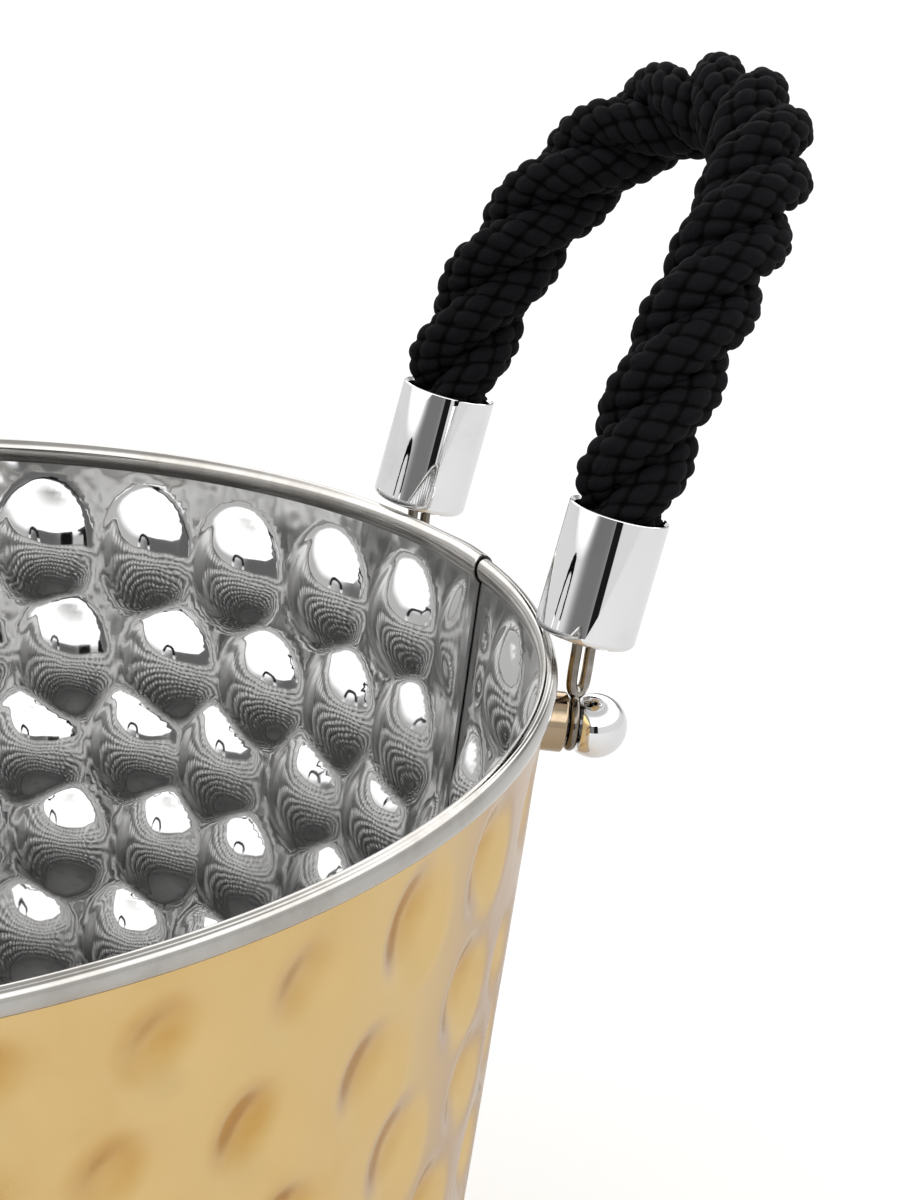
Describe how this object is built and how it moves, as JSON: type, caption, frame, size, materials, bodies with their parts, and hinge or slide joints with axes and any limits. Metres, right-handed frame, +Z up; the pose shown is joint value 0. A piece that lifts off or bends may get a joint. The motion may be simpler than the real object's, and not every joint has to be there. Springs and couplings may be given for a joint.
{
  "type": "ice bucket",
  "caption": "Round tapered hammered-metal ice bucket with a rolled rim and plaited rope handles in metal caps that tilt on ball studs.",
  "frame": {"origin": "middle of the foot ring's lower face, on the surface the bucket stands on", "axes": "+Z up along the bucket's axis, +X towards the right handle, +Y towards the back studs"},
  "size_m": [0.5394, 0.3844, 0.3889],
  "materials": {
    "gold_steel": "hammered steel, champagne gold outside and mirror polished inside",
    "polished_steel": "bright polished stainless steel",
    "chrome": "mirror chrome plate",
    "plain_steel": "plain turned steel",
    "black_rope": "matte black plaited cord, three-strand laid rope"
  },
  "bodies": {
    "bucket": {"bucket_wall": "gold_steel", "rim_roll": "polished_steel", "rim_wire": "plain_steel", "bucket_base": "polished_steel", "foot_ring": "polished_steel", "stud_boss_right_front": "chrome", "stud_pin_right_front": "plain_steel", "ball_knob_right_front": "chrome", "stud_boss_right_back": "chrome", "stud_pin_right_back": "plain_steel", "ball_knob_right_back": "chrome", "stud_boss_left_front": "chrome", "stud_pin_left_front": "plain_steel", "ball_knob_left_front": "chrome", "stud_boss_left_back": "chrome", "stud_pin_left_back": "plain_steel", "ball_knob_left_back": "chrome"},
    "handle_right": {"rope_right": "black_rope", "cap_right_front": "chrome", "cross_pin_right_front": "plain_steel", "cap_right_back": "chrome", "cross_pin_right_back": "plain_steel"},
    "link_right_front": {"link_right_front": "chrome"},
    "link_right_back": {"link_right_back": "chrome"},
    "handle_left": {"rope_left": "black_rope", "cap_left_front": "chrome", "cross_pin_left_front": "plain_steel", "cap_left_back": "chrome", "cross_pin_left_back": "plain_steel"},
    "link_left_front": {"link_left_front": "chrome"},
    "link_left_back": {"link_left_back": "chrome"}
  },
  "joints": [
    {"name": "handle_right_tilt", "type": "hinge", "parent": "bucket", "child": "handle_right", "pos_m": [0.19256, 0, 0.27636], "axis": [0, 1, 0], "range_deg": [-7, 0]},
    {"name": "link_right_front_swing", "type": "hinge", "parent": "bucket", "child": "link_right_front", "pos_m": [0.18826, -0.05434, 0.25095], "axis": [0.9462, -0.2731, -0.1737], "range_deg": [-3, 3]},
    {"name": "link_right_back_swing", "type": "hinge", "parent": "bucket", "child": "link_right_back", "pos_m": [0.18826, 0.05434, 0.25095], "axis": [0.9462, 0.2731, -0.1737], "range_deg": [-3, 3]},
    {"name": "handle_left_tilt", "type": "hinge", "parent": "bucket", "child": "handle_left", "pos_m": [-0.19256, 0, 0.27636], "axis": [0, -1, 0], "range_deg": [-7, 0]},
    {"name": "link_left_front_swing", "type": "hinge", "parent": "bucket", "child": "link_left_front", "pos_m": [-0.18826, 0.05434, 0.25095], "axis": [-0.9462, 0.2731, -0.1737], "range_deg": [-3, 3]},
    {"name": "link_left_back_swing", "type": "hinge", "parent": "bucket", "child": "link_left_back", "pos_m": [-0.18826, -0.05434, 0.25095], "axis": [-0.9462, -0.2731, -0.1737], "range_deg": [-3, 3]}
  ]
}
